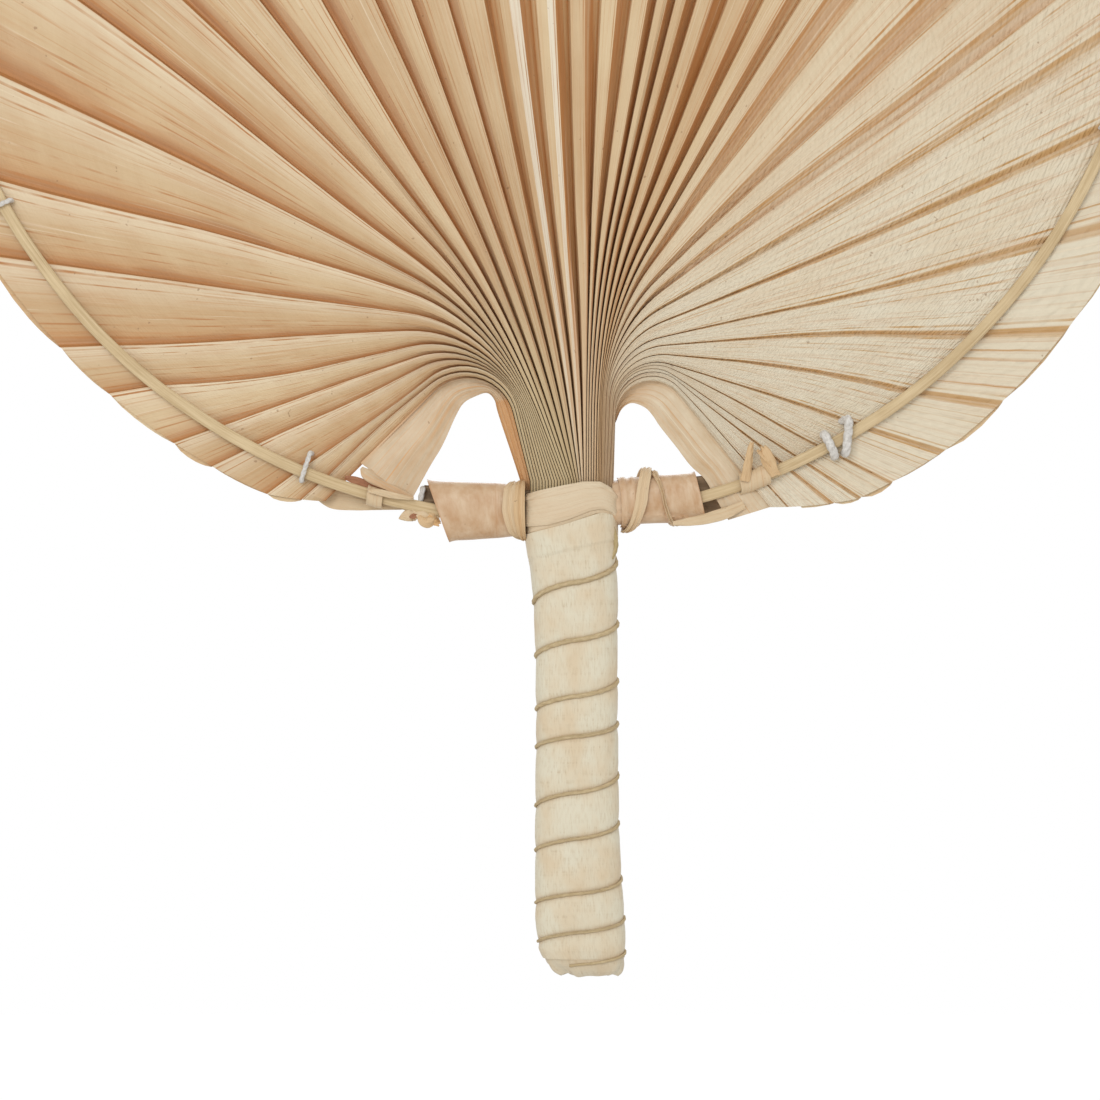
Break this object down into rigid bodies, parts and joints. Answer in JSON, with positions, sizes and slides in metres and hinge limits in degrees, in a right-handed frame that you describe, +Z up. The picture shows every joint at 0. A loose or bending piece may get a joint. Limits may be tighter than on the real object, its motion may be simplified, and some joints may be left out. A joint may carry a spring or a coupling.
{
  "type": "palm leaf hand fan",
  "caption": "Round hand fan made of one pleated palm leaf, stitched to a hoop of split stem, with a leaf-wrapped crossbar and a flat, cord-wound handle.",
  "frame": {"origin": "middle of the hand grip, in the middle of its thickness", "axes": "+Z up the handle towards the leaf, front of the fan faces -Y, +X to the right as seen from the front"},
  "size_m": [0.3988, 0.0178, 0.5204],
  "materials": {
    "palm_leaf": "dried, bleached leaf, satin, with fine ribs along each segment",
    "leaf_strip": "dried leaf strip, satin, creased where it is folded",
    "hoop_strip": "split leaf stem, matt, with fibres along it",
    "bamboo_slat": "weathered split bamboo, matt, grey brown",
    "stalk": "dried leaf stalk, matt",
    "thread": "twisted white cotton thread, matt",
    "cord": "twisted palm fibre cord, matt"
  },
  "bodies": {
    "root": {"leaf_blade": "palm_leaf", "hem_lower_left": "palm_leaf", "hem_upper_left": "palm_leaf", "hem_upper_right": "palm_leaf", "hem_lower_right": "palm_leaf", "left_outer_segment": "palm_leaf", "right_outer_segment": "palm_leaf", "left_leaf_tie": "leaf_strip", "right_leaf_tie": "leaf_strip", "handle_wrap": "leaf_strip", "handle_end_fold": "leaf_strip", "collar_lower_turn": "leaf_strip", "collar_front_pass": "leaf_strip", "collar_back_pass": "leaf_strip", "left_crossbar_wrap": "leaf_strip", "left_crescent_lashing": "leaf_strip", "right_crossbar_wrap": "leaf_strip", "right_twisted_lashing": "leaf_strip", "left_tie_end": "leaf_strip", "right_tie_end_long": "leaf_strip", "right_tie_end_short": "leaf_strip", "left_hoop_end_scrap": "leaf_strip", "front_hoop_strip": "hoop_strip", "back_hoop_strip": "hoop_strip", "front_crossbar_slat": "bamboo_slat", "back_crossbar_slat": "bamboo_slat", "leaf_stalk": "stalk", "left_thread_stitch": "thread", "left_end_stitch": "thread", "right_yarn_stitch_lower": "thread", "right_yarn_stitch_upper": "thread", "rim_thread_stitch_1": "thread", "rim_thread_stitch_2": "thread", "rim_thread_stitch_3": "thread", "rim_thread_stitch_4": "thread", "rim_thread_stitch_5": "thread", "rim_thread_stitch_6": "thread", "rim_thread_stitch_7": "thread", "handle_cord": "cord"}
  },
  "joints": []
}
